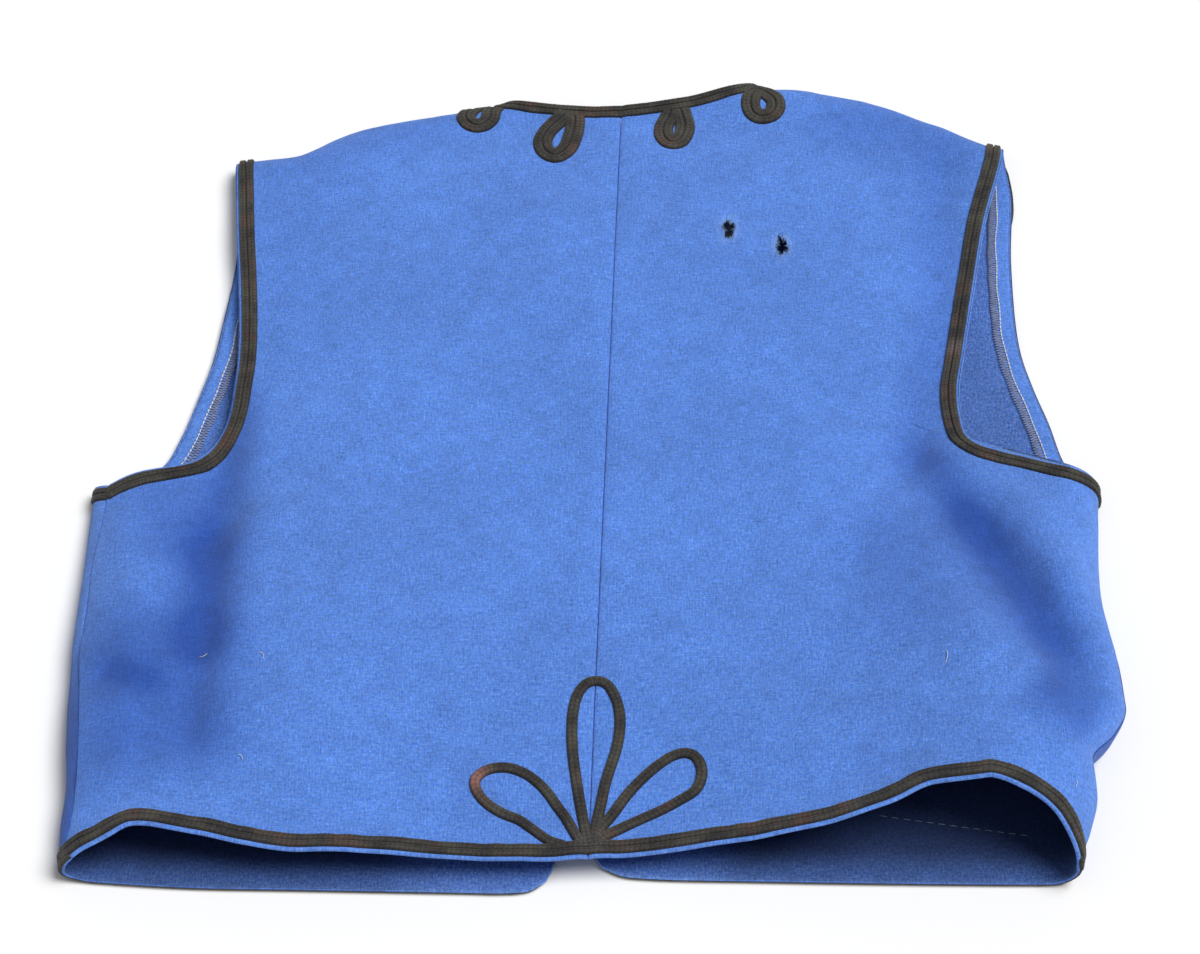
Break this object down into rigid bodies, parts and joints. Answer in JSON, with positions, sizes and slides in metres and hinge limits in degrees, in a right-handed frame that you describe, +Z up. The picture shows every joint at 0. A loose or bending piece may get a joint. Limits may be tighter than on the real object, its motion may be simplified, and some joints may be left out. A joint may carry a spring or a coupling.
{
  "type": "folk vest",
  "caption": "Blue woollen folk vest with dark soutache braid on its edges and braid loops and petals on its back, lying flat with the back up.",
  "frame": {"origin": "middle of the vest's box, on the surface that it lies on", "axes": "+Z up from the surface; +Y from the hem to the neck; +X to the right as the back is seen from above with the hem near"},
  "size_m": [0.5205, 0.5413, 0.0588],
  "materials": {
    "blue_wool": "matte woven wool",
    "soutache": "worn matte braid",
    "overlocked_edge": "matte cloth edge closely covered with overlock stitches"
  },
  "bodies": {
    "root": {"armhole_braid_left": "soutache", "armhole_braid_right": "soutache", "armhole_turning_left": "overlocked_edge", "armhole_turning_right": "overlocked_edge", "back_left": "blue_wool", "back_right": "blue_wool", "front_armhole_braid_left": "soutache", "front_armhole_braid_right": "soutache", "front_edge_braid_left": "soutache", "front_edge_braid_right": "soutache", "front_left": "blue_wool", "front_right": "blue_wool", "hem_braid": "soutache", "neck_braid": "soutache", "neck_loop_1": "soutache", "neck_loop_2": "soutache", "neck_loop_3": "soutache", "neck_loop_4": "soutache", "petal_centre": "soutache", "petal_left": "soutache", "petal_right": "soutache", "side_strand": "soutache"}
  },
  "joints": []
}
